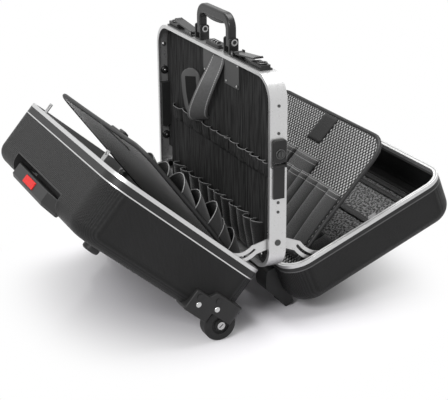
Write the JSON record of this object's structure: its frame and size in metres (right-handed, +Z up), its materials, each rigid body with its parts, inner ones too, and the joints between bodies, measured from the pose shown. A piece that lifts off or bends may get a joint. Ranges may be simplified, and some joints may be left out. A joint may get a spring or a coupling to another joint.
{
  "type": "rolling hard tool case",
  "caption": "Hard tool case opened on a centre frame between a wheeled base and a lid, with tool flaps, slotted stays, carry handle and telescopic handle.",
  "frame": {"origin": "on the floor, under the middle of the opened case's box", "axes": "+X along the hinges, +Y towards the lid, +Z up"},
  "size_m": [0.498, 0.7342, 0.5199],
  "materials": {
    "aluminium": "satin",
    "shell_plastic": "fine grained",
    "black_plastic": "satin",
    "flap_board": "dimpled",
    "steel": "brushed",
    "chrome": "polished",
    "black_metal": "gloss enamel",
    "red_plastic": "gloss",
    "tyre_rubber": "smooth tread",
    "grip_rubber": "ribbed",
    "fabric": "woven",
    "felt": "felted"
  },
  "bodies": {
    "frame": {"frame_band": "aluminium", "tool_board": "black_plastic", "frame_corner_caps": "black_plastic", "lock_cases": "black_plastic", "board_straps": "fabric", "board_plates": "black_metal", "board_pockets": "fabric", "frame_hinge_leaves": "steel", "frame_studs": "steel", "handle_brackets": "black_metal", "pivot_pins": "chrome", "latch_plates": "black_metal", "number_lock": "black_plastic", "side_locks": "black_metal"},
    "base": {"base_shell": "shell_plastic", "base_rim": "aluminium", "base_rim_band": "black_plastic", "wheel_housings": "black_plastic", "wheel_axles": "steel", "base_feet": "black_plastic", "base_floor": "black_plastic", "outer_tubes": "aluminium", "base_catches": "steel", "base_rods": "steel", "base_hinge_leaves": "steel"},
    "lid": {"lid_shell": "shell_plastic", "lid_rim": "aluminium", "lid_rim_band": "black_plastic", "lid_feet": "black_plastic", "lid_catches": "steel", "lid_rods": "steel", "felt_panel": "felt", "lid_sack": "fabric", "lid_hinge_leaves": "steel"},
    "base_flap": {"base_flap": "flap_board", "base_flap_loops": "fabric"},
    "lid_flap": {"lid_flap": "flap_board", "lid_flap_pockets": "fabric"},
    "near_wheel": {"near_wheel_tyre": "tyre_rubber", "near_wheel_hub": "black_plastic"},
    "far_wheel": {"far_wheel_tyre": "tyre_rubber", "far_wheel_hub": "black_plastic"},
    "middle_tubes": {"middle_tubes": "aluminium"},
    "telescopic_grip": {"inner_tubes": "aluminium", "pull_grip": "black_plastic"},
    "release_button": {"release_button": "red_plastic"},
    "base_stays": {"base_stays": "steel"},
    "lid_stays": {"lid_stays": "steel"},
    "carry_handle": {"carry_handle": "black_plastic", "grip_pad": "grip_rubber"},
    "near_latch_lever": {"near_latch_lever": "black_metal"},
    "far_latch_lever": {"far_latch_lever": "black_metal"},
    "near_side_lever": {"near_side_lever": "black_metal"},
    "far_side_lever": {"far_side_lever": "black_metal"},
    "near_key_barrel": {"near_key_barrel": "chrome"},
    "far_key_barrel": {"far_key_barrel": "chrome"},
    "near_dial": {"near_dial": "black_plastic"},
    "middle_dial": {"middle_dial": "black_plastic"},
    "far_dial": {"far_dial": "black_plastic"}
  },
  "joints": [
    {"name": "base_hinge", "type": "hinge", "parent": "frame", "child": "base", "pos_m": [0, -0.0196, 0.09788], "axis": [-1, 0, 0], "range_deg": [0, 49]},
    {"name": "lid_hinge", "type": "hinge", "parent": "frame", "child": "lid", "pos_m": [0, 0.0144, 0.09788], "axis": [1, 0, 0], "range_deg": [0, 68]},
    {"name": "base_flap_fold", "type": "hinge", "parent": "base", "child": "base_flap", "pos_m": [0, -0.04959, 0.09082], "axis": [1, 0, 0], "range_deg": [0, 13]},
    {"name": "lid_flap_fold", "type": "hinge", "parent": "lid", "child": "lid_flap", "pos_m": [0, 0.04045, 0.08144], "axis": [-1, 0, 0], "range_deg": [0, 25]},
    {"name": "base_stay_swing", "type": "hinge", "parent": "frame", "child": "base_stays", "pos_m": [0, -0.0026, 0.15988], "axis": [-1, 0, 0], "range_deg": [0, 63.7]},
    {"name": "lid_stay_swing", "type": "hinge", "parent": "frame", "child": "lid_stays", "pos_m": [0, -0.0026, 0.15988], "axis": [1, 0, 0], "range_deg": [0, 68]},
    {"name": "near_wheel_roll", "type": "hinge", "parent": "base", "child": "near_wheel", "pos_m": [0.2305, -0.1126, 0.029], "axis": [1, 0, 0], "continuous": true},
    {"name": "far_wheel_roll", "type": "hinge", "parent": "base", "child": "far_wheel", "pos_m": [-0.2305, -0.1126, 0.029], "axis": [1, 0, 0], "continuous": true},
    {"name": "middle_tube_slide", "type": "slide", "parent": "base", "child": "middle_tubes", "axis": [0, -0.7547, 0.6561], "range_m": [0, 0.24]},
    {"name": "grip_slide", "type": "slide", "parent": "middle_tubes", "child": "telescopic_grip", "axis": [0, -0.7547, 0.6561], "range_m": [0, 0.24]},
    {"name": "button_press", "type": "slide", "parent": "telescopic_grip", "child": "release_button", "axis": [0, 0.7547, -0.6561], "range_m": [0, 0.003], "stiffness_N_per_m": 400, "springref_m": -0.002},
    {"name": "handle_swing", "type": "hinge", "parent": "frame", "child": "carry_handle", "pos_m": [0, -0.0026, 0.47188], "axis": [1, 0, 0], "range_deg": [-88, 88]},
    {"name": "near_latch_swing", "type": "hinge", "parent": "frame", "child": "near_latch_lever", "pos_m": [0.088, -0.0026, 0.45738], "axis": [0, -1, 0], "range_deg": [-2, 50]},
    {"name": "far_latch_swing", "type": "hinge", "parent": "frame", "child": "far_latch_lever", "pos_m": [-0.088, -0.0026, 0.45738], "axis": [0, 1, 0], "range_deg": [-2, 50]},
    {"name": "near_side_lever_swing", "type": "hinge", "parent": "frame", "child": "near_side_lever", "pos_m": [0.2434, -0.0026, 0.29888], "axis": [0, -1, 0], "range_deg": [0, 60]},
    {"name": "far_side_lever_swing", "type": "hinge", "parent": "frame", "child": "far_side_lever", "pos_m": [-0.2434, -0.0026, 0.29888], "axis": [0, 1, 0], "range_deg": [0, 60]},
    {"name": "near_key_turn", "type": "hinge", "parent": "frame", "child": "near_key_barrel", "pos_m": [0.247, -0.0026, 0.32088], "axis": [1, 0, 0], "range_deg": [0, 90]},
    {"name": "far_key_turn", "type": "hinge", "parent": "frame", "child": "far_key_barrel", "pos_m": [-0.247, -0.0026, 0.32088], "axis": [-1, 0, 0], "range_deg": [0, 90]},
    {"name": "near_dial_turn", "type": "hinge", "parent": "frame", "child": "near_dial", "pos_m": [0.009, -0.0026, 0.45578], "axis": [1, 0, 0], "continuous": true},
    {"name": "middle_dial_turn", "type": "hinge", "parent": "frame", "child": "middle_dial", "pos_m": [0, -0.0026, 0.45578], "axis": [1, 0, 0], "continuous": true},
    {"name": "far_dial_turn", "type": "hinge", "parent": "frame", "child": "far_dial", "pos_m": [-0.009, -0.0026, 0.45578], "axis": [1, 0, 0], "continuous": true}
  ],
  "couplings": [
    {"joint": "base_flap_fold", "follows": "base_hinge", "ratio": 0.26531},
    {"joint": "lid_flap_fold", "follows": "lid_hinge", "ratio": 0.36765},
    {"joint": "base_stay_swing", "follows": "base_hinge", "ratio": 1.3},
    {"joint": "lid_stay_swing", "follows": "lid_hinge", "ratio": 1}
  ]
}
